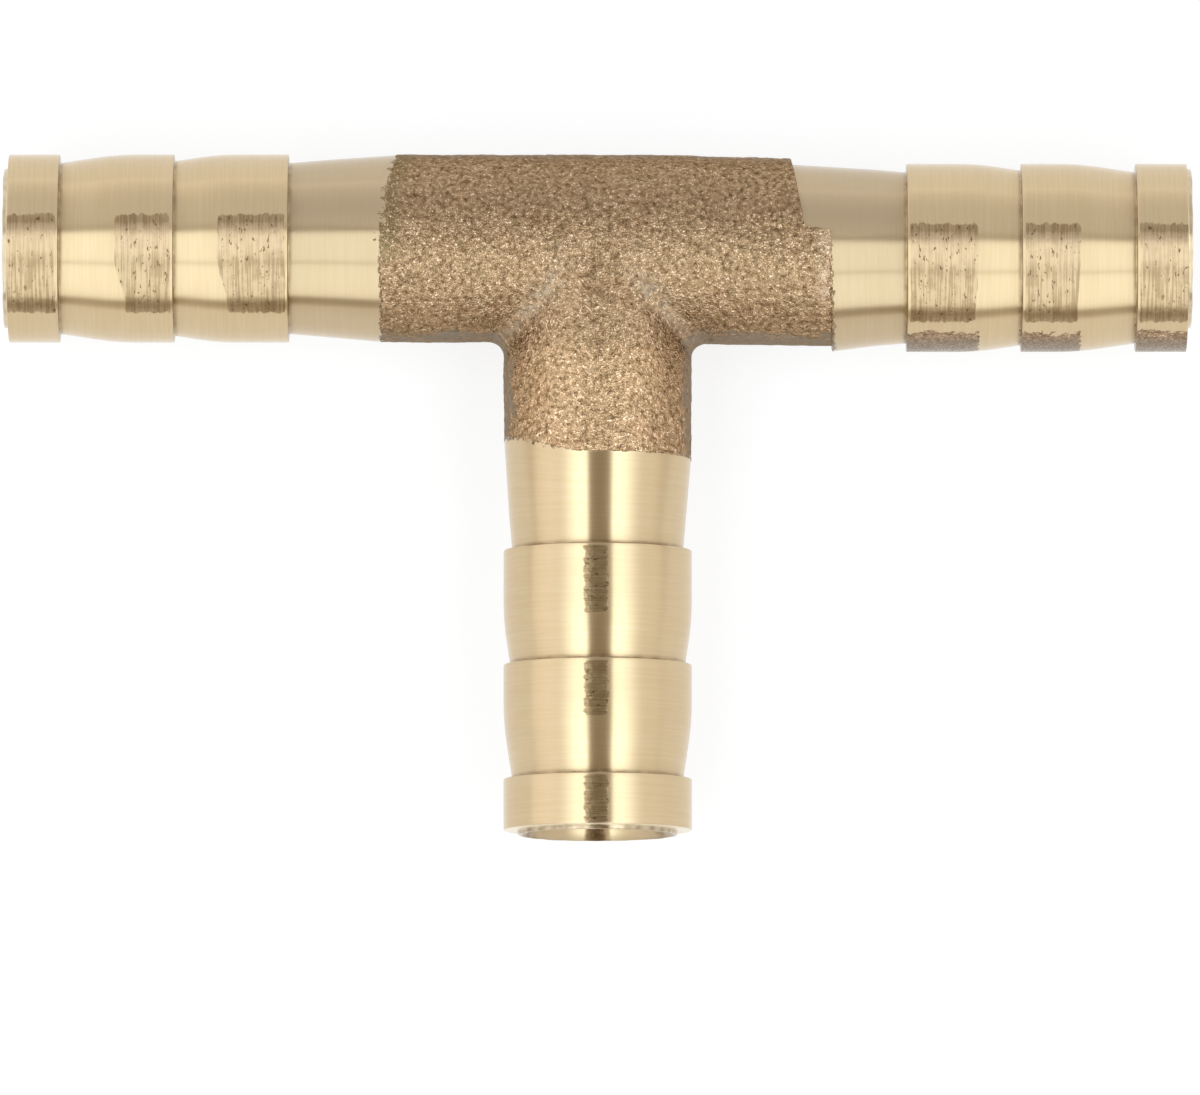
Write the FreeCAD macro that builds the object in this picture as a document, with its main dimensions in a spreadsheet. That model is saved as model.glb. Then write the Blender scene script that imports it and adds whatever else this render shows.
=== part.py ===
import FreeCAD, Part
import os
import Sketcher

# Barbed tee connector for 8 mm hose: a cast brass tee whose three legs are turned into hose tails.
# Millimetres. The run lies along X and the branch points along -Y; the three axes meet at the origin,
# and +Z is up when the tee lies flat.

# Driving dimensions, kept in the spreadsheet: alias, value, what it is.
SIZES = [
    ("run_reach", 25.0, "tee centre to each end of the run"),
    ("branch_reach", 24.8, "tee centre to the end of the branch"),
    ("crest_radius", 3.96, "barb crests and end collars"),
    ("bore_radius", 2.8, "straight bore through every leg"),
    ("mouth_radius", 3.2, "flared mouth of the bore, at the lip's end"),
    ("mouth_depth", 0.8, "depth of that flare"),
    ("lip_radius", 3.36, "outside of the thin lip round the mouth"),
    ("lip_length", 0.22, "how far that lip stands out of the collar's flat end face"),
    ("collar_length", 2.36, "the lip's end to the collar's shoulder"),
    ("barb_pitch", 4.82, "shoulder to shoulder, collar and barbs alike"),
    ("outer_land", 2.42, "length of the barb crest next to the collar"),
    ("inner_land", 2.95, "length of the barb crest next to the body"),
    ("collar_groove", 0.36, "drop behind the collar's shoulder"),
    ("outer_groove", 0.28, "drop behind the outer barb's shoulder"),
    ("inner_groove", 0.36, "drop behind the inner barb's shoulder"),
    ("root_drop", 0.02, "how far the last taper stays below the crests where it meets the body"),
    ("run_radius", 3.97, "cast skin of the run"),
    ("branch_radius", 3.96, "cast skin of the branch"),
    ("crotch_fillet", 0.65, "rounding between the run and the branch"),
    ("left_joint", 8.85, "tee centre to where the left tail starts"),
    ("right_joint", 9.15, "tee centre to where the right tail starts"),
    ("branch_joint", 8.75, "tee centre to where the branch tail starts"),
    ("right_tail_drop", 0.4, "how far the right tail was turned off the run's axis, towards the branch"),
]

# A corner's height that keeps it on the axis which the outline is turned about.
AXIS = "0"

# The barbs of one tail, from the free end inwards: the sheet's aliases for the crest's length
# and for the groove behind its shoulder.
BARBS = [("outer_land", "outer_groove"), ("inner_land", "inner_groove")]


def make_sheet(doc):
    """Write the driving dimensions into a spreadsheet, one alias per row."""
    sheet = doc.addObject("Spreadsheet::Sheet", "Sizes")
    for row, (alias, value, meaning) in enumerate(SIZES, start=1):
        sheet.set("A%d" % row, alias)
        sheet.set("B%d" % row, str(value))
        sheet.set("C%d" % row, meaning)
        sheet.setAlias("B%d" % row, alias)
    doc.recompute()


def origin_plane(body, role):
    """The body's own origin plane that has this role, such as XY_Plane."""
    for feature in body.Origin.OriginFeatures:
        if feature.Role == role:
            return feature
    raise ValueError("no origin feature " + role)


def new_sketch(body, name, role):
    """A sketch that lies flat on one of the body's own origin planes."""
    sketch = body.newObject("Sketcher::SketchObject", name)
    sketch.AttachmentSupport = [(origin_plane(body, role), "")]
    sketch.MapMode = "FlatFace"
    return sketch


def draw_outline(sketch, corners):
    """Draw a closed outline of straight lines; each corner is a pair of formulas for its x and y.

    A corner whose y is AXIS lies on the sketch's horizontal axis."""
    points = []
    for x_formula, y_formula in corners:
        x_value = sketch.evalExpression(x_formula)
        y_value = sketch.evalExpression(y_formula)
        points.append(FreeCAD.Vector(x_value, y_value, 0))
    count = len(points)
    for index in range(count):
        sketch.addGeometry(Part.LineSegment(points[index], points[(index + 1) % count]), False)
    for index in range(count):
        sketch.addConstraint(Sketcher.Constraint("Coincident", index, 2, (index + 1) % count, 1))
    for index, (x_formula, y_formula) in enumerate(corners):
        along = sketch.addConstraint(
            Sketcher.Constraint("DistanceX", -1, 1, index, 1, points[index].x))
        sketch.setExpression("Constraints[%d]" % along, x_formula)
        if y_formula == AXIS:
            sketch.addConstraint(Sketcher.Constraint("PointOnObject", index, 1, -1))
            continue
        across = sketch.addConstraint(
            Sketcher.Constraint("DistanceY", -1, 1, index, 1, points[index].y))
        sketch.setExpression("Constraints[%d]" % across, y_formula)


def draw_circle(sketch, radius_formula):
    """Draw a circle around the sketch's origin."""
    radius = sketch.evalExpression(radius_formula)
    centre = FreeCAD.Vector(0, 0, 0)
    sketch.addGeometry(Part.Circle(centre, FreeCAD.Vector(0, 0, 1), radius), False)
    sketch.addConstraint(Sketcher.Constraint("Coincident", 0, 3, -1, 1))
    index = sketch.addConstraint(Sketcher.Constraint("Radius", 0, radius))
    sketch.setExpression("Constraints[%d]" % index, radius_formula)


def outside_corners(joint, end):
    """Half the outside of a hose tail: x is the distance from the tee's centre, y is the radius.

    It runs out along the axis, up the end face, and back over the collar and the barbs.
    Every shoulder is square and faces the body, so that the hose can't slide off."""
    crest = "Sizes.crest_radius"
    face = end + " - Sizes.lip_length"
    shoulder = end + " - Sizes.collar_length"
    corners = [
        (joint, AXIS),
        (face, AXIS),
        (face, crest),
        (shoulder, crest),
        (shoulder, crest + " - Sizes.collar_groove"),
    ]
    for land, groove in BARBS:
        shoulder += " - Sizes.barb_pitch"
        corners += [
            (shoulder + " + Sizes." + land, crest),
            (shoulder, crest),
            (shoulder, crest + " - Sizes." + groove),
        ]
    corners.append((joint, crest + " - Sizes.root_drop"))
    return corners


def lip_corners(end):
    """Half of the lip that stands out of the end face, still filled in."""
    face = end + " - Sizes.lip_length"
    return [
        (face, AXIS),
        (end, AXIS),
        (end, "Sizes.lip_radius"),
        (face, "Sizes.lip_radius"),
    ]


def bore_corners(joint, end):
    """Half the bore of a leg, with its flared mouth."""
    return [
        (joint, AXIS),
        (end, AXIS),
        (end, "Sizes.mouth_radius"),
        (end + " - Sizes.mouth_depth", "Sizes.bore_radius"),
        (joint, "Sizes.bore_radius"),
    ]


def revolve(body, kind, name, section):
    """Turn a section once round its sketch's horizontal axis: a Revolution adds, a Groove cuts."""
    feature = body.newObject(kind, name)
    feature.Profile = section
    feature.ReferenceAxis = (section, ["H_Axis"])
    feature.Angle = 360
    return feature


def make_tail(doc, name, joint, end, turn, drop=None):
    """A hose tail turned about its own X axis, then swung about Z onto its leg.

    A tail with a drop is shifted off the run's axis, and its bore and lip stay on that axis."""
    body = doc.addObject("PartDesign::Body", name)
    body.Label = name
    outside = new_sketch(body, name + "_outside", "XY_Plane")
    draw_outline(outside, outside_corners(joint, end))
    revolve(body, "PartDesign::Revolution", name + "_turning", outside)
    lip = new_sketch(body, name + "_lip", "XY_Plane")
    draw_outline(lip, lip_corners(end))
    bore = new_sketch(body, name + "_bore", "XY_Plane")
    draw_outline(bore, bore_corners(joint, end))
    if drop:
        for sketch in (lip, bore):
            sketch.setExpression("AttachmentOffset.Base.y", drop)
    revolve(body, "PartDesign::Revolution", name + "_lip_turning", lip)
    revolve(body, "PartDesign::Groove", name + "_drilling", bore)
    body.Placement = FreeCAD.Placement(
        FreeCAD.Vector(0, 0, 0), FreeCAD.Rotation(FreeCAD.Vector(0, 0, 1), turn))
    if drop:
        body.setExpression("Placement.Base.y", "-" + drop)
    return body


def crossing_edges(shape):
    """Names of the edges where the run and the branch cross: the ones that are not lines or circles."""
    names = []
    for index, edge in enumerate(shape.Edges, start=1):
        if not isinstance(edge.Curve, (Part.Line, Part.Circle)):
            names.append("Edge%d" % index)
    return names


def make_tee_body(doc):
    """The cast middle: two crossed round bars, rounded in the crotches, and bored through."""
    body = doc.addObject("PartDesign::Body", "tee_body")
    body.Label = "tee_body"

    run_circle = new_sketch(body, "run_circle", "YZ_Plane")
    draw_circle(run_circle, "Sizes.run_radius")
    run = body.newObject("PartDesign::Pad", "run")
    run.Profile = run_circle
    run.SideType = "Two sides"
    run.setExpression("Length", "Sizes.right_joint")
    run.setExpression("Length2", "Sizes.left_joint")

    branch_circle = new_sketch(body, "branch_circle", "XZ_Plane")
    draw_circle(branch_circle, "Sizes.branch_radius")
    branch = body.newObject("PartDesign::Pad", "branch")
    branch.Profile = branch_circle
    branch.setExpression("Length", "Sizes.branch_joint")
    doc.recompute()

    crotch = body.newObject("PartDesign::Fillet", "crotch")
    crotch.Base = (branch, crossing_edges(branch.Shape))
    crotch.setExpression("Radius", "Sizes.crotch_fillet")

    run_bore_circle = new_sketch(body, "run_bore_circle", "YZ_Plane")
    draw_circle(run_bore_circle, "Sizes.bore_radius")
    run_bore = body.newObject("PartDesign::Pocket", "run_bore")
    run_bore.Profile = run_bore_circle
    run_bore.SideType = "Symmetric"
    run_bore.Type = "ThroughAll"

    branch_bore_circle = new_sketch(body, "branch_bore_circle", "XZ_Plane")
    draw_circle(branch_bore_circle, "Sizes.bore_radius")
    branch_bore = body.newObject("PartDesign::Pocket", "branch_bore")
    branch_bore.Profile = branch_bore_circle
    branch_bore.Type = "ThroughAll"
    branch_bore.Reversed = True
    return body


def check_document(doc, bodies):
    """Stop if any object failed to compute or any sub-part is not one valid solid."""
    for item in doc.Objects:
        if "Invalid" in item.State or "Error" in item.State:
            raise RuntimeError("%s did not compute: %s" % (item.Name, item.State))
    for body in bodies:
        if body.Shape.isNull() or not body.Shape.isValid() or len(body.Shape.Solids) != 1:
            raise RuntimeError("%s is not one valid solid" % body.Label)


def main():
    doc = FreeCAD.newDocument("barbed_tee")
    make_sheet(doc)
    bodies = [
        make_tee_body(doc),
        make_tail(doc, "right_hose_tail", "Sizes.right_joint", "Sizes.run_reach", 0,
                  drop="Sizes.right_tail_drop"),
        make_tail(doc, "branch_hose_tail", "Sizes.branch_joint", "Sizes.branch_reach", -90),
        make_tail(doc, "left_hose_tail", "Sizes.left_joint", "Sizes.run_reach", 180),
    ]
    doc.recompute()
    check_document(doc, bodies)
    os.makedirs("parts", exist_ok=True)
    for body in bodies:
        body.Shape.exportStep(os.path.join("parts", body.Label + ".step"))
        box = body.Shape.BoundBox
        print("%-18s volume %7.2f mm3  x %.2f..%.2f  y %.2f..%.2f  z %.2f..%.2f" % (
            body.Label, body.Shape.Volume, box.XMin, box.XMax, box.YMin, box.YMax, box.ZMin, box.ZMax))


main()
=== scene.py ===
import math
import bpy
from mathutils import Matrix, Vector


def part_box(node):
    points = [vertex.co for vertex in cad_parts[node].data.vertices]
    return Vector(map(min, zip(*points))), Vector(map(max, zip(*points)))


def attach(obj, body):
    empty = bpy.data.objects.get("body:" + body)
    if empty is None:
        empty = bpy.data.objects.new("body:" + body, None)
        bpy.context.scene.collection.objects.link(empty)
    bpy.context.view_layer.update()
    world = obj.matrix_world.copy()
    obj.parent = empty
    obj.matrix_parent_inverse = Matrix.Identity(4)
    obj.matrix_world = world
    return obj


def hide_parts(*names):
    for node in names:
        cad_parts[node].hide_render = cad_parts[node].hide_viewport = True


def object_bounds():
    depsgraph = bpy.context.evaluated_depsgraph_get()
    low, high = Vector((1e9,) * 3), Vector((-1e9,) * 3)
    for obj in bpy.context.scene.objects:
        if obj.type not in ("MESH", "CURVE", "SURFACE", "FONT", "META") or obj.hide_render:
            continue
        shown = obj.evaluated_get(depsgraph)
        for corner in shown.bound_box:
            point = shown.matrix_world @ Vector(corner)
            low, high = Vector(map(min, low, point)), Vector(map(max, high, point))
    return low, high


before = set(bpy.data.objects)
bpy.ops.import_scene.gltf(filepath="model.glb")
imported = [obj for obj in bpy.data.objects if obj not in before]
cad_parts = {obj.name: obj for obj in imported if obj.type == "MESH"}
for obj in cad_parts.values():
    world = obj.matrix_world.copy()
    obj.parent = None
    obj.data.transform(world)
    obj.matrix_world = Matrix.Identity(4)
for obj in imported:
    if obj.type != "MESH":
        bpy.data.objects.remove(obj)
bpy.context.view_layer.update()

from types import SimpleNamespace

import bpy
import numpy as np
from mathutils import Vector, noise

# Lengths are in millimetres in the CAD frame, and are scaled to metres where a mesh is made.
MM = 0.001

# Outline of a hose tail, measured back from its free end. The joint, the crests' radius and the
# right tail's drop are read from the frame.
BORE_RADIUS = 2.8
MOUTH_RADIUS = 3.2
MOUTH_DEPTH = 0.8
LIP_RADIUS = 3.36
LIP_LENGTH = 0.22
COLLAR_LENGTH = 2.36
BARB_PITCH = 4.82
COLLAR_GROOVE = 0.36
BARBS = [
    {"land": 2.42, "groove": 0.28},
    {"land": 2.95, "groove": 0.36},
]
ROOT_DROP = 0.02
RUN_RADIUS = 3.97
BRANCH_RADIUS = 3.96
CROTCH_FILLET = 0.65

# Flaws of the casting: a small hole in the skin, and how much of a tail's shift the skin follows.
BLOWHOLE = np.array((-7.56, -1.75, 3.6))
BLOWHOLE_DEPTH = 0.16
BLOWHOLE_RADIUS = 0.17
SAG = 0.45

# How finely the meshes are cut.
AROUND = 288
OUTSIDE_STEP = 0.12
BORE_STEP = 0.8
CAST_VOXEL = 0.115


def smooth(value, low, high):
    """0 below low, 1 above high, and an even curve between them."""
    t = np.clip((value - low) / (high - low), 0, 1)
    return t * t * (3 - 2 * t)


def ripple(points, per_mm, seed):
    """Smooth noise from about -1 to 1 at each point; per_mm says how fine it is."""
    shift = Vector((seed * 17.3, seed * 7.7, seed * 3.1))
    return np.array([noise.noise(Vector(point) * per_mm + shift) for point in points])


# ---- the three legs ----

class Leg:
    """One leg: its directions, where its tail starts and ends, and how its skin and its scuffs lie.

    Side runs from -1 to 1 across the leg. Border, ragged and loose are functions of it: how far out the cast
    skin reaches, how uneven its end is, and how far out it breaks up into flecks. The scuffs' turn from the
    top and their half-width are in degrees, and their lean is in millimetres."""

    def __init__(self, node, along, across, border, ragged, loose, scuff_turn, scuff_spread, scuff_lean):
        self.node = node
        self.along = np.array(along, float)
        self.across = np.array(across, float)
        self.up = np.array((0, 0, 1), float)
        low, high = (np.array(corner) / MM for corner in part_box(node))
        self.joint, self.end = sorted((low @ self.along, high @ self.along))
        self.crest = (high[2] - low[2]) / 2
        self.shift = (low + high) / 2 @ self.across * self.across
        self.border = border
        self.ragged = ragged
        self.loose = loose
        self.scuff_turn = math.radians(scuff_turn)
        self.scuff_spread = math.radians(scuff_spread)
        self.scuff_lean = scuff_lean

    def skin_end(self, points):
        """How far out the cast skin reaches, at points on this leg: its even part and its ragged part."""
        side = points @ self.across / self.crest
        around = points - np.outer(points @ self.along, self.along)
        coarse = ripple(around, 1.6, self.end + 1)
        fine = ripple(around, 5.0, self.end + 2)
        return self.border(side), self.ragged(side) * (0.6 * coarse + 0.4 * fine)


def left_border(side):
    """The skin reaches further on the side towards the branch."""
    return 9.15 - 0.23 * smooth(side, 0.10, 0.20) - 0.42 * smooth(side, 0.45, 0.95)


def left_ragged(side):
    """More uneven on the side away from the branch."""
    return 0.05 + 0.13 * smooth(side, -0.1, 0.2)


def left_loose(side):
    """Most broken up along the top, and a little on the side away from the branch."""
    top = smooth(side, -0.1, 0.0) * smooth(side, 0.32, 0.22)
    return 0.05 + 0.15 * smooth(side, 0.2, 0.3) + 0.45 * top


def right_border(side):
    """The skin ends early on the side away from the branch and late on the side towards it."""
    late = 9.8 - 0.2 * side
    early = 8.6 - 0.66 * (side - 0.29)
    return late + (early - late) * smooth(side, 0.13, 0.19)


def right_ragged(side):
    """Less uneven where the skin ends early."""
    return 0.07 - 0.04 * smooth(side, 0.2, 0.5)


def right_loose(side):
    """Hardly broken up, and the same all round."""
    return np.full_like(side, 0.04)


def branch_border(side):
    """A square shoulder on the right that runs out early on the left."""
    return 8.93 - 0.8 * smooth(-side, 0.1, 1.1)


def branch_ragged(side):
    """Clean at the square shoulder, and uneven where it runs out."""
    return 0.02 + 0.12 * smooth(-side, 0.3, 0.7)


def branch_loose(side):
    """Broken up only where the shoulder runs out."""
    return 0.02 + 0.16 * smooth(-side, 0.3, 0.6)


LEGS = {
    "left": Leg("left_hose_tail", (-1, 0, 0), (0, 1, 0), left_border, left_ragged, left_loose,
                scuff_turn=17, scuff_spread=32, scuff_lean=0.42),
    "right": Leg("right_hose_tail", (1, 0, 0), (0, 1, 0), right_border, right_ragged, right_loose,
                 scuff_turn=17, scuff_spread=32, scuff_lean=0.1),
    "branch": Leg("branch_hose_tail", (0, -1, 0), (1, 0, 0), branch_border, branch_ragged, branch_loose,
                  scuff_turn=1, scuff_spread=7, scuff_lean=0.0),
}


# ---- meshes ----

def soften(corners):
    """Round the corners of an outline. Each corner is (along, radius, rounding); ends stay as they are."""
    line = [np.array(corners[0][:2], float)]
    for before, corner, after in zip(corners, corners[1:], corners[2:]):
        here = np.array(corner[:2], float)
        back = np.array(before[:2], float) - here
        ahead = np.array(after[:2], float) - here
        room = 0.45 * min(np.linalg.norm(back), np.linalg.norm(ahead))
        reach = min(corner[2], room)
        start = here + back / np.linalg.norm(back) * reach
        finish = here + ahead / np.linalg.norm(ahead) * reach
        count = max(3, math.ceil(2 * reach / OUTSIDE_STEP))
        for t in np.linspace(0, 1, count + 1):
            line.append((1 - t) ** 2 * start + 2 * t * (1 - t) * here + t * t * finish)
    line.append(np.array(corners[-1][:2], float))
    return line


def cut_long(line, step):
    """Add points so that no part of the outline is longer than step."""
    points = [line[0]]
    for start, finish in zip(line, line[1:]):
        count = max(1, math.ceil(np.linalg.norm(finish - start) / step))
        for index in range(1, count + 1):
            points.append(start + (finish - start) * index / count)
    return points


def crest_bands(leg):
    """Where each crest runs along the leg, as (start, finish), the collar first."""
    bands = [(leg.end - COLLAR_LENGTH, leg.end - LIP_LENGTH)]
    shoulder = leg.end - COLLAR_LENGTH
    for barb in BARBS:
        shoulder -= BARB_PITCH
        bands.append((shoulder, shoulder + barb["land"]))
    return bands


def bore_outline(leg):
    """From the joint out to the flared mouth."""
    corners = [
        (leg.joint, BORE_RADIUS, 0),
        (leg.end - MOUTH_DEPTH, BORE_RADIUS, 0.08),
        (leg.end, MOUTH_RADIUS, 0),
    ]
    return cut_long(soften(corners), BORE_STEP)


def outside_outline(leg):
    """From the mouth's edge over the lip, the collar and the barbs to the joint."""
    sharp = 0.05
    inside = 0.08
    blend = 0.9
    face = leg.end - LIP_LENGTH
    shoulder = leg.end - COLLAR_LENGTH
    corners = [
        (leg.end, MOUTH_RADIUS, 0),
        (leg.end, LIP_RADIUS, sharp),
        (face, LIP_RADIUS, inside),
        (face, leg.crest, sharp),
        (shoulder, leg.crest, sharp),
        (shoulder, leg.crest - COLLAR_GROOVE, inside),
    ]
    for barb in BARBS:
        shoulder -= BARB_PITCH
        corners += [
            (shoulder + barb["land"], leg.crest, blend),
            (shoulder, leg.crest, sharp),
            (shoulder, leg.crest - barb["groove"], inside),
        ]
    corners.append((leg.joint, leg.crest - ROOT_DROP, 0))
    return cut_long(soften(corners), OUTSIDE_STEP)


def add_attribute(mesh, name, kind, values):
    """Store one value per vertex under a name that the materials read."""
    key = "vector" if kind == "FLOAT_VECTOR" else "value"
    attribute = mesh.attributes.new(name, kind, "POINT")
    attribute.data.foreach_set(key, np.ascontiguousarray(values, dtype=np.float32).ravel())


def sweep(leg):
    """Sweep a tail's outline round its leg, ring by ring, and keep what is known of each vertex."""
    bore = bore_outline(leg)
    outline = np.array(bore + outside_outline(leg)[1:])
    rings = len(outline)
    end_face = outline[:, 0] > leg.end - LIP_LENGTH - 0.001

    # The bore and the lip stay on the leg's axis, and the shift grows from nothing over the end face.
    off_axis = np.ones(rings)
    off_axis[end_face] = np.clip((outline[end_face, 1] - LIP_RADIUS) / (leg.crest - LIP_RADIUS), 0, 1)
    off_axis[:len(bore)] = 0

    swept = SimpleNamespace(outline=outline)
    swept.arc = np.concatenate([[0], np.cumsum(np.linalg.norm(np.diff(outline, axis=0), axis=1))])
    swept.angle = np.tile(np.arange(AROUND) * 2 * math.pi / AROUND, rings)
    swept.side = np.cos(swept.angle)
    swept.rise = np.sin(swept.angle)
    swept.r = np.repeat(outline[:, 1], AROUND)
    swept.in_bore = np.repeat(np.arange(rings) < len(bore), AROUND)
    swept.faced = np.repeat(end_face, AROUND) & ~swept.in_bore

    # The tail starts where the cast skin ends, and is stretched over its first stretch to do so.
    reach = 2.5
    tuck = 0.12
    on_crest = np.outer(leg.crest * swept.side, leg.across) + np.outer(leg.crest * swept.rise, leg.up)
    even, ragged = leg.skin_end(on_crest)
    s = np.repeat(outline[:, 0], AROUND)
    s += (even - tuck - leg.joint) * np.clip(1 - (s - leg.joint) / reach, 0, 1)

    # The lip is a little uneven.
    uneven = 0.05
    lip = (s > leg.end - 0.06) & (swept.r > MOUTH_RADIUS - 0.05)
    s[lip] -= uneven * (0.5 + 0.5 * ripple(on_crest[lip], 1.1, leg.end + 3))

    swept.s = s
    swept.cast = even + ragged - s
    swept.points = np.outer(s, leg.along)
    swept.points += np.outer(swept.r * swept.side, leg.across) + np.outer(swept.r * swept.rise, leg.up)
    swept.points += np.outer(np.repeat(off_axis, AROUND), leg.shift)
    return swept


def turned_from(angle, pole):
    """How far each angle is from the pole, either way round."""
    return np.abs(np.angle(np.exp(1j * (angle - pole))))


def skin_and_scuffs(leg, swept):
    """How deep each vertex lies in cast skin and in a scuff, in millimetres, and below 0 outside them.

    The material turns these depths into sharp edges."""
    corner = 0.12
    inset = 0.12
    soft_side = 0.5
    outside = -1.0
    s, side = swept.s, swept.side
    cast = swept.cast.copy()
    scuff = np.full(len(s), outside)
    for number, (start, finish) in enumerate(crest_bands(leg)):
        # A barb's scuff ends early on the side towards the branch. The collar's doesn't.
        lean = leg.scuff_lean * smooth(-side, 0.2, 0.7) if number > 0 else 0
        past_end = np.maximum(corner - (finish - lean - s), 0)
        for pole in (math.pi / 2 + leg.scuff_turn, -math.pi / 2 - leg.scuff_turn):
            inwards = (leg.scuff_spread - turned_from(swept.angle, pole)) * leg.crest
            past_side = np.maximum(corner - soft_side * inwards, 0)
            patch = np.minimum(corner - np.hypot(past_end, past_side), s - start - inset)
            scuff = np.maximum(scuff, patch)
        if leg is LEGS["right"]:
            # The lathe missed the skin on the side towards the branch.
            left_rough = (-0.85 - side) * leg.crest + 0.24 * ripple(swept.points, 0.9, leg.end + 4)
            cast = np.maximum(cast, np.minimum(np.minimum(s - start, finish - s) + 0.05, left_rough))
    scuff[swept.r < leg.crest - 0.2] = outside
    cast[swept.r < BORE_RADIUS + 0.1] = outside
    scuff[swept.faced] = outside
    cast[swept.faced] = outside
    return cast, scuff


def tail_dirt_and_shade(leg, swept):
    """Dirt and painted shade from 0 to 1: dirt and painted shade under the shoulders, darker on the lip, a
    painted dark reflection along the bottom of the mouth, and painted shade down the bore.
    """
    s = swept.s
    dirt_and_shade = np.zeros(len(s))
    # Dirt and painted shade at the foot of each shoulder.
    for start, _ in crest_bands(leg):
        dirt_and_shade = np.maximum(dirt_and_shade, smooth(start - s, 0.15, 0.04) * (s < start + 0.01))
    on_branch = leg is LEGS["branch"]
    dirt_and_shade[swept.faced & (swept.r < LIP_RADIUS + 0.01)] = 1.0 if on_branch else 0.5
    # Painted reflection: a dark stripe along the bottom of the mouth, strongest on the branch. The mouth's
    # sides are darker too, and painted shade fills the bore further in.
    dark_reflection = 1.4 if on_branch else 0.5
    off_bottom = turned_from(swept.angle, -math.pi / 2)
    mouth = 0.1 + smooth(np.abs(swept.side), 0.6, 0.95) + dark_reflection * smooth(off_bottom, 0.2, 0.14)
    deep = smooth(leg.end - s, 0.7, 2.0)
    dirt_and_shade[swept.in_bore] = (0.6 * deep + mouth * (1 - deep))[swept.in_bore]
    return dirt_and_shade


def run_highlight_and_wear(leg, swept):
    """On the run, a highlight painted onto the scuffs along the band that catches the softboxes, and how dull
    the last taper is.
    """
    s, side = swept.s, swept.side
    # Painted highlight: the scuffs are painted lighter along the band that catches the softboxes.
    rubbed_and_highlight = smooth(side, 0.19, 0.11) * smooth(side, -0.64, -0.58)
    rubbed_and_highlight *= 0.4 + 0.6 * smooth(side, -0.25, -0.1)
    inner_shoulder = crest_bands(leg)[-1][0]
    dull = smooth(inner_shoulder - s, -0.1, 0.3) * (0.4 + 0.25 * smooth(side, 0.15, 0.35))
    return rubbed_and_highlight, dull


def ring_faces(swept, flip):
    """Join the rings into one closed skin, and turn its faces over if flip is true.

    Returns the faces and the UV of each of their corners."""
    outline = swept.outline
    rings = len(outline)
    closing = swept.arc[-1] + np.linalg.norm(outline[0] - outline[-1])
    round_trip = np.append(swept.arc, closing) / closing
    faces, uv = [], []
    for i in range(rings):
        for j in range(AROUND):
            corners = [(i, j), (i, j + 1), (i + 1, j + 1), (i + 1, j)]
            if flip:
                corners.reverse()
            faces.append([(a % rings) * AROUND + b % AROUND for a, b in corners])
            uv += [(round_trip[a], b / AROUND) for a, b in corners]
    return faces, uv


def hose_tail(name, leg):
    """A turned tail as one closed mesh: the outline swept round the leg, bore included."""
    swept = sweep(leg)
    faces, uv = ring_faces(swept, np.dot(np.cross(leg.along, leg.across), leg.up) > 0)
    mesh = bpy.data.meshes.new(name)
    mesh.from_pydata((swept.points * MM).tolist(), [], faces)
    layer = mesh.uv_layers.new(name="turned")
    layer.data.foreach_set("uv", np.array(uv, dtype=np.float32).ravel())

    lathe = np.column_stack([np.repeat(swept.arc, AROUND), swept.r * swept.side, swept.r * swept.rise])
    cast, scuff = skin_and_scuffs(leg, swept)
    rubbed_and_highlight = dull = np.zeros(len(swept.s))
    if leg is not LEGS["branch"]:
        rubbed_and_highlight, dull = run_highlight_and_wear(leg, swept)
    add_attribute(mesh, "lathe", "FLOAT_VECTOR", lathe)
    add_attribute(mesh, "cast", "FLOAT", cast)
    add_attribute(mesh, "loose", "FLOAT", leg.loose(swept.side))
    add_attribute(mesh, "scuff", "FLOAT", scuff)
    add_attribute(mesh, "rubbed_and_highlight", "FLOAT", rubbed_and_highlight)
    add_attribute(mesh, "dirt_and_shade", "FLOAT", tail_dirt_and_shade(leg, swept))
    add_attribute(mesh, "dull", "FLOAT", dull)
    add_attribute(mesh, "faced", "FLOAT", swept.faced)
    mesh.shade_smooth()
    piece = bpy.data.objects.new(name, mesh)
    bpy.context.collection.objects.link(piece)
    return piece


def to_run(points):
    """Distance to the run's skin, below 0 inside it."""
    return np.hypot(points[:, 1], points[:, 2]) - RUN_RADIUS


def to_branch(points):
    """Distance to the branch's skin, which starts at the run's axis."""
    return np.maximum(np.hypot(points[:, 0], points[:, 2]) - BRANCH_RADIUS, points[:, 1])


def to_skin(points):
    """Distance to the cast skin: the nearer of run and branch, with a round fillet between them.

    The fillet dies out towards the top and the bottom, where the two skins run together."""
    run, branch = to_run(points), to_branch(points)
    fillet = CROTCH_FILLET * (1 - np.clip(points[:, 2] / RUN_RADIUS, -1, 1) ** 4)
    corner = np.hypot(np.maximum(fillet - run, 0), np.maximum(fillet - branch, 0))
    return np.maximum(fillet, np.minimum(run, branch)) - corner


def skin_normal(points):
    """Which way is out of the skin, from the distances a little to each side."""
    nudge = 0.01
    slopes = []
    for axis in range(3):
        step = np.zeros(3)
        step[axis] = nudge
        slopes.append(to_skin(points + step) - to_skin(points - step))
    slopes = np.column_stack(slopes)
    return slopes / np.maximum(np.linalg.norm(slopes, axis=1), 1e-9)[:, None]


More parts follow.
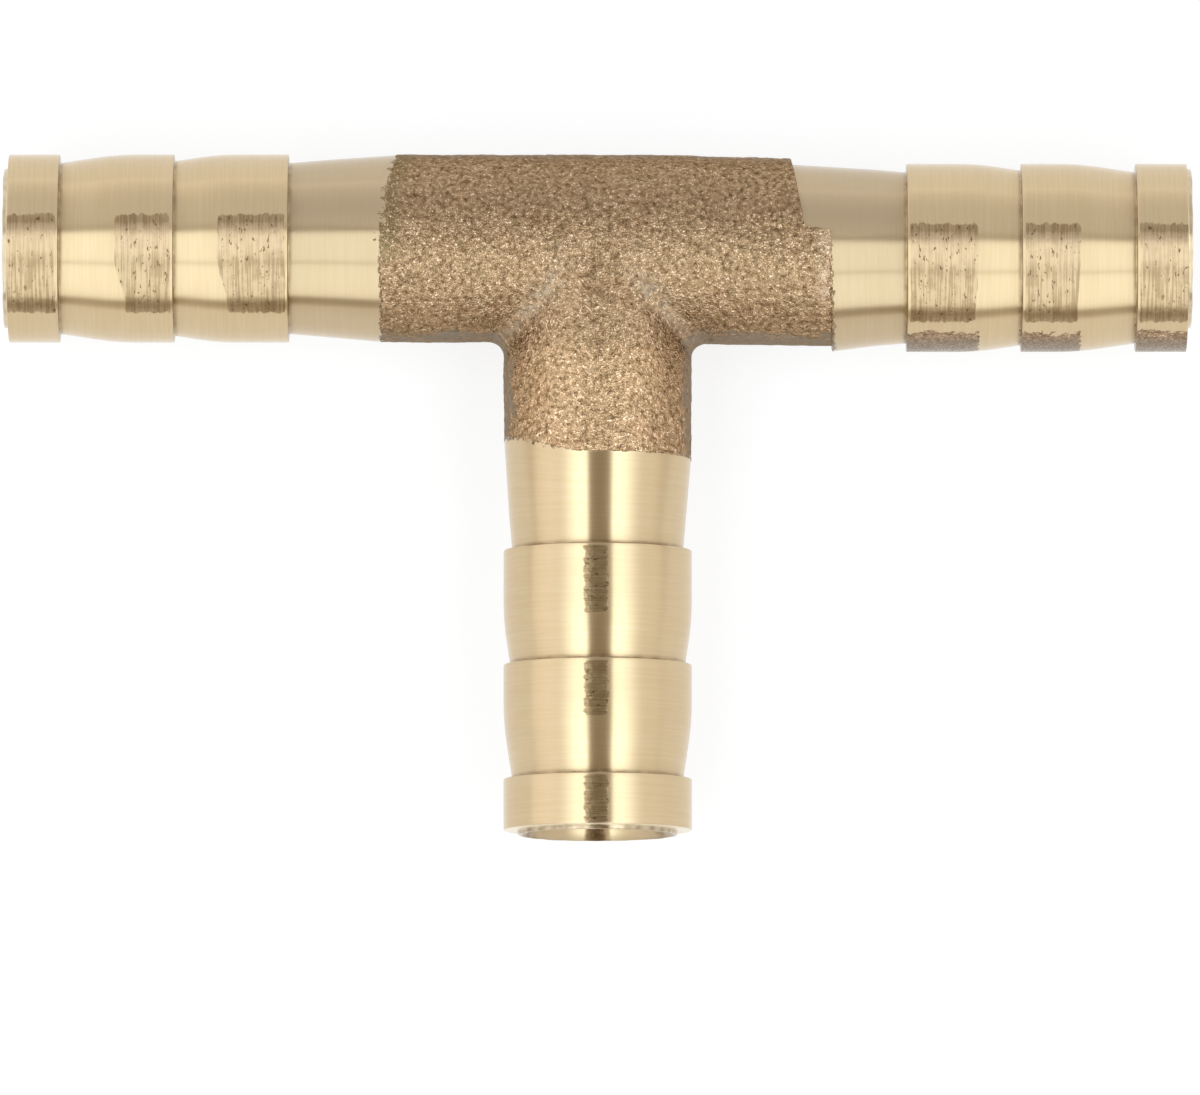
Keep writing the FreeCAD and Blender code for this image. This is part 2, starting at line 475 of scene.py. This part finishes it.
def even_mesh(source):
    """A CAD node's mesh, cut again into an even fine one."""
    rough = bpy.data.objects.new("rough", source.data.copy())
    bpy.context.collection.objects.link(rough)
    remesh = rough.modifiers.new("even", "REMESH")
    remesh.mode = "VOXEL"
    remesh.voxel_size = CAST_VOXEL * MM
    remesh.use_smooth_shade = True
    ease = rough.modifiers.new("ease", "SMOOTH")
    ease.factor = 0.5
    ease.iterations = 4
    depsgraph = bpy.context.evaluated_depsgraph_get()
    mesh = bpy.data.meshes.new_from_object(rough.evaluated_get(depsgraph))
    bpy.data.objects.remove(rough)
    return mesh


def in_saddle(skin):
    """1 in the two saddles, where run and branch meet, and 0 away from them."""
    near_both = np.exp(-((to_run(skin) - to_branch(skin)) / 0.35) ** 2)
    return near_both * smooth(np.abs(skin[:, 0]), 0.8, 2.2) * (skin[:, 1] < 0)


def rough_lift(skin):
    """How far the casting's skin stands out at each point, with its swells, grain, pits and blowhole."""
    swell = 0.03 * ripple(skin, 0.45, 1) + 0.02 * ripple(skin, 1.3, 2)
    grain = 0.02 * ripple(skin, 3.4, 3) + 0.016 * ripple(skin, 5.6, 4)
    pits = -0.05 * smooth(ripple(skin, 1.7, 5), 0.42, 0.62)
    from_hole = np.linalg.norm(skin - BLOWHOLE, axis=1)
    blowhole = -BLOWHOLE_DEPTH * np.exp(-(from_hole / BLOWHOLE_RADIUS) ** 2)
    return swell + grain + pits + blowhole


def draw_end(points, leg, bored):
    """Draw one end out or in to the ragged edge where the turning stopped.

    Outside the bore it also sags a little, towards a tail that was turned off its axis."""
    s = points @ leg.along
    even, ragged = leg.skin_end(points)
    gentle = smooth(s, leg.joint - 3.0, leg.joint)
    sudden = smooth(s, leg.joint - 0.45, leg.joint)
    push = (even - leg.joint) * gentle + ragged * sudden
    sag = SAG * smooth(s, 0, leg.joint + 2.0) * (1 - bored)
    return points + np.outer(push, leg.along) + np.outer(sag, leg.shift)


def stained(points):
    """Stain from 0 to 1, on the skin beside the left tail."""
    leg = LEGS["left"]
    side = points @ leg.across / leg.crest
    even = leg.border(side)
    return smooth(side, -0.35, -0.15) * smooth(points @ leg.along, even - 1.1, even - 0.3)


def rubbed_strip(points):
    """How rubbed the skin is, from 0 to 1, in a strip beside the right tail."""
    leg = LEGS["right"]
    side = points @ leg.across / leg.crest
    return smooth(side, 0.19, 0.11) * smooth(side, -0.8, -0.5) * smooth(points @ leg.along, 9.15, 9.45)


def cast_middle(name):
    """The cast tee: the CAD solid cut into an even fine mesh, drawn onto the smooth skin, then roughened."""
    mesh = even_mesh(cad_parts["tee_body"])
    points = np.empty(len(mesh.vertices) * 3)
    mesh.vertices.foreach_get("co", points)
    points = points.reshape(-1, 3) / MM
    near = 0.14
    on_skin = np.abs(to_skin(points)) < near
    skin = points[on_skin]
    for _ in range(3):
        skin = skin - skin_normal(skin) * to_skin(skin)[:, None]

    # The skin is calmer in the saddles, and lies a little low so that its bumps hardly leave the CAD's box.
    low = 0.02
    saddle = in_saddle(skin)
    lift = rough_lift(skin) * (1 - 0.6 * saddle) - low
    points[on_skin] = skin + skin_normal(skin) * lift[:, None]
    saddles = np.zeros(len(points))
    saddles[on_skin] = saddle

    # Points deep under the skin are on the bore.
    bored = smooth(-to_skin(points), 0.4, 0.8)
    for leg in LEGS.values():
        points = draw_end(points, leg, bored)
    mesh.vertices.foreach_set("co", (points * MM).ravel())
    mesh.materials.clear()
    add_attribute(mesh, "saddle", "FLOAT", saddles)
    add_attribute(mesh, "stain", "FLOAT", stained(points))
    add_attribute(mesh, "rubbed_and_highlight", "FLOAT", rubbed_strip(points))
    add_attribute(mesh, "bored", "FLOAT", bored)
    mesh.shade_smooth()
    mesh.update()
    piece = bpy.data.objects.new(name, mesh)
    bpy.context.collection.objects.link(piece)
    return piece


# ---- materials ----

class Graph:
    """Short calls that build the node tree of a material or a world."""

    def __init__(self, owner):
        owner.use_nodes = True
        self.tree = owner.node_tree
        self.tree.nodes.clear()

    def node(self, kind, inputs=None, **settings):
        """Add a node. Its inputs are sockets to link or plain values."""
        made = self.tree.nodes.new(kind)
        for key, value in settings.items():
            setattr(made, key, value)
        for key, value in (inputs or {}).items():
            self.feed(made.inputs[key], value)
        return made

    def feed(self, socket, value):
        """Link a socket to an input, or give the input a plain value."""
        if isinstance(value, bpy.types.NodeSocket):
            self.tree.links.new(value, socket)
        else:
            socket.default_value = value

    def maths(self, operation, first, second=0.0):
        return self.node("ShaderNodeMath", {0: first, 1: second}, operation=operation).outputs[0]

    def times(self, first, second):
        return self.maths("MULTIPLY", first, second)

    def plus(self, first, second):
        return self.maths("ADD", first, second)

    def grade(self, value, low, high, out_low=0.0, out_high=1.0, kind="SMOOTHSTEP"):
        """Take a value from the range low to high to the range out_low to out_high, and no further."""
        inputs = {"Value": value, "From Min": low, "From Max": high, "To Min": out_low, "To Max": out_high}
        return self.node("ShaderNodeMapRange", inputs, interpolation_type=kind).outputs["Result"]

    def mix(self, factor, first, second):
        """Mix two colours."""
        inputs = {0: factor, 6: first, 7: second}
        return self.node("ShaderNodeMix", inputs, data_type="RGBA").outputs[2]

    def blend(self, factor, first, second):
        """Mix two numbers."""
        inputs = {0: factor, 2: first, 3: second}
        return self.node("ShaderNodeMix", inputs, data_type="FLOAT").outputs[0]

    def read(self, name, output):
        """An attribute of the mesh: its Fac is a number, and its Vector has three."""
        return self.node("ShaderNodeAttribute", attribute_name=name).outputs[output]

    def stretch(self, vector, factors):
        """Multiply a vector by a factor for each of its directions."""
        inputs = {0: vector, 1: factors}
        return self.node("ShaderNodeVectorMath", inputs, operation="MULTIPLY").outputs[0]

    def speckle(self, vector, scale, detail=2.0, roughness=0.5):
        """Noise from 0 to 1; scale says how fine it is."""
        inputs = {"Vector": vector, "Scale": scale, "Detail": detail, "Roughness": roughness}
        return self.node("ShaderNodeTexNoise", inputs).outputs[0]


# Colours are linear.
CAST_GOLD = (0.418, 0.276, 0.160, 1)
CAST_BROWN = (0.262, 0.161, 0.086, 1)
CAST_OLIVE = (0.235, 0.160, 0.085, 1)
CAST_DARK = (0.125, 0.068, 0.032, 1)
CAST_STAIN = (0.20, 0.155, 0.07, 1)
CAST_MAUVE = (0.275, 0.233, 0.186, 1)
CAST_EDGE = (0.60, 0.53, 0.46, 1)
CAST_GLINT = (0.80, 0.62, 0.45, 1)
CAST_ASH = (0.247, 0.178, 0.118, 1)
TURNED_GOLD = (0.635, 0.487, 0.292, 1)
TURNED_PALE = (0.66, 0.513, 0.320, 1)
# Painted light: a paler colour for the end faces.
TURNED_FACE_PAINTED_LIGHT = (0.84, 0.72, 0.52, 1)
TURNED_EDGE = (1.0, 1.0, 1.0, 1)
TURNED_DULL = (0.46, 0.355, 0.235, 1)
SCUFF_BROWN = (0.35, 0.242, 0.127, 1)
SCUFF_PALE = (0.58, 0.437, 0.265, 1)
SCUFF_PAINTED_HIGHLIGHT = (0.74, 0.56, 0.37, 1)
SCUFF_DARK = (0.20, 0.120, 0.058, 1)


def cast_look(graph, place, stain):
    """Rough cast skin at places in millimetres: returns its colour, roughness and height."""
    grain = graph.speckle(place, 5.0, 2.0, 0.6)
    fleck = graph.speckle(place, 11.0, 1.5, 0.6)
    tint = graph.speckle(place, 0.9, 2.0)
    dark = graph.mix(graph.grade(tint, 0.35, 0.65, 0.0, 0.7), CAST_BROWN, CAST_OLIVE)
    colour = graph.mix(graph.grade(grain, 0.36, 0.66), dark, CAST_GOLD)
    pit = graph.times(graph.grade(grain, 0.42, 0.30), graph.grade(fleck, 0.62, 0.42))
    colour = graph.mix(pit, colour, CAST_DARK)
    glint = graph.times(graph.grade(fleck, 0.56, 0.68), graph.grade(grain, 0.42, 0.56))
    colour = graph.mix(graph.times(glint, 0.85), colour, CAST_GLINT)
    tarnish = graph.times(stain, graph.grade(fleck, 0.56, 0.42, 0.15, 0.7))
    colour = graph.mix(tarnish, colour, CAST_STAIN)
    roughness = graph.grade(fleck, 0.35, 0.65, 0.34, 0.16)
    height = graph.plus(graph.times(grain, 0.042), graph.times(fleck, 0.05))
    return colour, roughness, height


def turned_look(graph, lathe, scuff, rubbed_and_highlight, dirt_and_shade, dull, faced):
    """Turned brass: fine rings round the axis, scuffs on the crests with a painted highlight, dull tapers,
    end faces painted paler as painted light, and dirt with painted shade.
    """
    rings = graph.speckle(graph.stretch(lathe, (9.0, 0.3, 0.3)), 1.0, 2.0, 0.6)
    lines = graph.speckle(graph.stretch(lathe, (12.0, 0.5, 0.5)), 1.0, 1.5, 0.5)
    dots = graph.speckle(graph.stretch(lathe, (8.0, 3.2, 3.2)), 1.0, 2.0, 0.6)
    blotch = graph.speckle(lathe, 2.2, 2.0)
    frayed = graph.grade(graph.speckle(graph.stretch(lathe, (6.0, 1.2, 1.2)), 1.0), 0.3, 0.7, -0.03, 0.03)
    worn = graph.grade(graph.plus(scuff, frayed), -0.02, 0.02)
    colour = graph.mix(graph.grade(rings, 0.35, 0.65), TURNED_GOLD, TURNED_PALE)
    colour = graph.mix(dull, colour, TURNED_DULL)
    # Painted light: the end faces are painted paler than the rest of the turned metal.
    colour = graph.mix(faced, colour, TURNED_FACE_PAINTED_LIGHT)
    streaks = graph.grade(graph.plus(lines, graph.grade(blotch, 0.3, 0.7, -0.06, 0.06)), 0.36, 0.62)
    # Painted highlight: along that band the scuffs get fainter streaks and a lighter colour.
    streaks = graph.times(streaks, graph.grade(rubbed_and_highlight, 0.0, 0.4, 0.5, 1.0))
    patch = graph.mix(streaks, SCUFF_BROWN, SCUFF_PALE)
    patch = graph.mix(graph.times(rubbed_and_highlight, 0.5), patch, SCUFF_PAINTED_HIGHLIGHT)
    patch = graph.mix(graph.grade(dots, 0.38, 0.30), patch, SCUFF_DARK)
    colour = graph.mix(worn, colour, patch)
    # Dirt and painted shade: darker under the shoulders, on the lip and in the bore.
    shade_and_grime = graph.times(dirt_and_shade, graph.grade(blotch, 0.3, 0.7, 0.35, 0.75))
    colour = graph.mix(shade_and_grime, colour, SCUFF_DARK)
    roughness = graph.blend(worn, 0.31, 0.38)
    fine = graph.times(rings, 0.0015)
    rough = graph.plus(graph.grade(lines, 0.0, 1.0, -0.004, 0.004, "LINEAR"),
                       graph.grade(dots, 0.0, 1.0, -0.006, 0.006, "LINEAR"))
    return colour, roughness, graph.plus(fine, graph.times(rough, worn))


def finish_surface(graph, colour, edge, roughness, height, anisotropy=0.0, tangent=None):
    """A metal surface with a bump whose height is in millimetres; edge tints it where it turns away."""
    bump = graph.node("ShaderNodeBump", {"Height": height, "Strength": 1.0, "Distance": MM})
    inputs = {"Base Color": colour, "Metallic": 1.0, "Roughness": roughness, "Normal": bump.outputs[0],
              "Specular Tint": edge, "Anisotropic": anisotropy}
    if tangent is not None:
        inputs["Tangent"] = tangent
    shader = graph.node("ShaderNodeBsdfPrincipled", inputs)
    graph.node("ShaderNodeOutputMaterial", {"Surface": shader.outputs[0]})


def cast_brass():
    """The tee's middle: rough skin, smoother and greyer along the mould's parting and in the saddles."""
    material = bpy.data.materials.new("cast_brass")
    graph = Graph(material)
    place = graph.stretch(graph.node("ShaderNodeTexCoord").outputs["Object"], (1 / MM,) * 3)
    colour, roughness, height = cast_look(graph, place, graph.read("stain", "Fac"))

    # Bare metal shows in the rubbed strip. The skin on the branch is painted brighter: painted light, for the
    # softboxes that the branch catches more of.
    broken = graph.grade(graph.speckle(place, 2.4, 2.0), 0.35, 0.65, 0.1, 0.55)
    rubbed_and_highlight = graph.times(graph.read("rubbed_and_highlight", "Fac"), 0.7)
    colour = graph.mix(graph.times(rubbed_and_highlight, broken), colour, CAST_GLINT)
    parts = graph.node("ShaderNodeSeparateXYZ", {0: place})
    branch_painted_light = graph.grade(parts.outputs["Y"], -3.6, -5.4, 1.0, 1.30)
    colour = graph.node("ShaderNodeVectorMath", {0: colour, "Scale": branch_painted_light}, operation="SCALE").outputs[0]

    # A calm band follows the mould's parting, with a wandering edge, and calm streaks lie in the saddles.
    level = graph.maths("ABSOLUTE", parts.outputs["Z"])
    wander = graph.grade(graph.speckle(place, 0.9, 4.0, 0.6), 0.3, 0.7, -0.4, 0.4)
    seam = graph.grade(graph.plus(level, wander), 1.8, 1.1)
    seam = graph.times(seam, graph.grade(parts.outputs["Y"], 1.0, -1.0, 0.35, 1.0))
    calm = graph.maths("MAXIMUM", seam, graph.times(graph.read("saddle", "Fac"), broken))
    cover = graph.grade(graph.speckle(graph.stretch(place, (1.0, 2.0, 6.0)), 1.0, 3.0), 0.38, 0.60, 0.5, 0.92)
    colour = graph.mix(graph.times(calm, cover), colour, CAST_MAUVE)
    roughness = graph.blend(calm, roughness, 0.45)
    height = graph.times(height, graph.grade(calm, 0.0, 1.0, 1.0, 0.4))

    # The bore is drilled.
    bored = graph.read("bored", "Fac")
    colour = graph.mix(bored, colour, TURNED_DULL)
    roughness = graph.blend(bored, roughness, 0.31)
    height = graph.times(height, graph.grade(bored, 1.0, 0.0))
    finish_surface(graph, colour, CAST_EDGE, roughness, height)
    return material


def machined_brass():
    """A turned tail, with what is left of the cast skin on it."""
    material = bpy.data.materials.new("machined_brass")
    graph = Graph(material)
    lathe = graph.read("lathe", "Vector")
    wear_and_painted_light = [graph.read(name, "Fac") for name in ("scuff", "rubbed_and_highlight", "dirt_and_shade", "dull", "faced")]
    colour, roughness, height = turned_look(graph, lathe, *wear_and_painted_light)
    # Where the skin breaks up into flecks, it is stained too.
    loose = graph.read("loose", "Fac")
    stain = graph.grade(loose, 0.05, 0.3)
    cast_colour, cast_roughness, cast_height = cast_look(graph, lathe, stain)
    level = graph.maths("ABSOLUTE", graph.node("ShaderNodeSeparateXYZ", {0: lathe}).outputs["Z"])
    cast_colour = graph.mix(graph.grade(level, 1.9, 1.3, 0.0, 0.75), cast_colour, CAST_ASH)
    edge = graph.grade(graph.speckle(lathe, 3.6, 3.0, 0.6), 0.32, 0.68, -1.0, 1.0, "LINEAR")
    reach = graph.plus(loose, 0.04)
    cast = graph.plus(graph.read("cast", "Fac"), graph.times(edge, reach))
    cast = graph.grade(cast, -0.015, 0.015)
    tangent = graph.node("ShaderNodeTangent", direction_type="UV_MAP", uv_map="turned").outputs[0]
    finish_surface(graph, graph.mix(cast, colour, cast_colour), TURNED_EDGE,
                   graph.blend(cast, roughness, cast_roughness), graph.blend(cast, height, cast_height),
                   1.0, tangent)
    return material


def floor_material():
    """Matt white that glows a little, like a light table, so that the tee's shadow is faint."""
    material = bpy.data.materials.new("pale_floor")
    graph = Graph(material)
    white = (1.0, 1.0, 1.0, 1)
    grey = (0.20, 0.20, 0.20, 1)
    inputs = {"Base Color": grey, "Roughness": 1.0, "Specular IOR Level": 0.0,
              "Emission Color": white, "Emission Strength": 0.80}
    shader = graph.node("ShaderNodeBsdfPrincipled", inputs)
    graph.node("ShaderNodeOutputMaterial", {"Surface": shader.outputs[0]})
    return material


# ---- stage ----

def make_floor(level):
    """A wide pale floor that the tee lies on, in metres."""
    half_width = 6.0
    signs = ((-1, -1), (1, -1), (1, 1), (-1, 1))
    corners = [(x * half_width, y * half_width, level) for x, y in signs]
    mesh = bpy.data.meshes.new("floor")
    mesh.from_pydata(corners, [], [(0, 1, 2, 3)])
    mesh.materials.append(floor_material())
    floor = bpy.data.objects.new("floor", mesh)
    bpy.context.collection.objects.link(floor)


# The studio, by direction. Angles are in degrees from straight up: sideways is to the right, and forward is
# the way that the branch points. The two softboxes meet in a dark gap, and a dark seam crosses them.
GAP_AT = 2.75
BOX_FORWARD = (-16.5, 74)
SEAM_FORWARD = (24, 27)
EDGE_FORWARD = (75, 88)
GAP_FORWARD = (-24, 84)

# Its brightness and its colours.
ROOM = 0.78
BACK_WALL = 0.755
LEFT_WALL = 1.42
RIGHT_WALL = 1.18
SOFTBOX = (2.78, 3.04, 3.17, 1)
GAP_COLOUR = (0.335, 0.278, 0.20, 1)
FRONT_COLOUR = (0.33, 0.25, 0.115, 1)


def between(graph, angle, low, high, edge):
    """1 between two angles and 0 outside them, with soft edges this many degrees wide."""
    rise = graph.grade(angle, low - edge / 2, low + edge / 2)
    fall = graph.grade(angle, high + edge / 2, high - edge / 2)
    return graph.times(rise, fall)


def make_studio():
    """Two softboxes overhead, left and right of the camera, in a pale room, as a plain light dome."""
    world = bpy.data.worlds.new("studio")
    graph = Graph(world)
    parts = graph.node("ShaderNodeSeparateXYZ", {0: graph.node("ShaderNodeTexCoord").outputs["Generated"]})
    x, y, z = (parts.outputs[axis] for axis in "XYZ")
    sideways = graph.maths("DEGREES", graph.maths("ARCTAN2", x, z))
    forward = graph.maths("DEGREES", graph.maths("ARCTAN2", graph.times(y, -1.0), z))
    from_gap = graph.maths("ABSOLUTE", graph.maths("SUBTRACT", sideways, GAP_AT))

    wall = graph.grade(sideways, -50, 50, LEFT_WALL, RIGHT_WALL, "LINEAR")
    level = graph.grade(forward, -58, -46, BACK_WALL, ROOM)
    level = graph.blend(graph.grade(from_gap, 42, 66), level, wall)
    colour = graph.node("ShaderNodeCombineXYZ", {0: level, 1: level, 2: level}).outputs[0]
    box = graph.times(graph.grade(from_gap, 65, 26), between(graph, forward, *BOX_FORWARD, 5))
    colour = graph.mix(box, colour, SOFTBOX)
    seam = graph.times(between(graph, forward, *SEAM_FORWARD, 2), 0.55)
    front_edge = graph.times(between(graph, forward, *EDGE_FORWARD, 5), 0.75)
    gap = graph.times(graph.grade(from_gap, 17.5, 13), between(graph, forward, *GAP_FORWARD, 8))
    colour = graph.mix(seam, colour, GAP_COLOUR)
    colour = graph.mix(front_edge, colour, FRONT_COLOUR)
    colour = graph.mix(gap, colour, GAP_COLOUR)
    background = graph.node("ShaderNodeBackground", {"Color": colour, "Strength": 1.0})
    graph.node("ShaderNodeOutputWorld", {"Surface": background.outputs[0]})
    bpy.context.scene.world = world


def make_camera():
    """Looking down on the tee, tipped a little so that the branch's end shows.

    Distance and view width are in metres."""
    elevation = math.radians(84.6)
    distance = 0.75
    view_width = 0.05047
    target = Vector((0.10 * MM, -12.65 * MM, 0))
    back = Vector((0, -math.cos(elevation), math.sin(elevation)))
    data = bpy.data.cameras.new("camera")
    data.lens = data.sensor_width * distance / view_width
    data.clip_start = 0.05
    data.clip_end = 20
    camera = bpy.data.objects.new("camera", data)
    camera.location = target + back * distance
    camera.rotation_euler = (-back).to_track_quat("-Z", "Y").to_euler()
    bpy.context.collection.objects.link(camera)
    bpy.context.scene.camera = camera


def stand_in(piece, material, node):
    """Give a piece its material, and let it stand for its CAD node."""
    piece.data.materials.append(material)
    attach(piece, "root")
    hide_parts(node)


def main():
    stand_in(cast_middle("cast_middle"), cast_brass(), "tee_body")
    turned = machined_brass()
    for name, leg in LEGS.items():
        stand_in(hose_tail(name + "_tail", leg), turned, leg.node)
    visual_low, visual_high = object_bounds()
    make_floor(visual_low[2])
    make_studio()
    make_camera()
    bpy.context.scene.view_settings.view_transform = "Standard"


main()
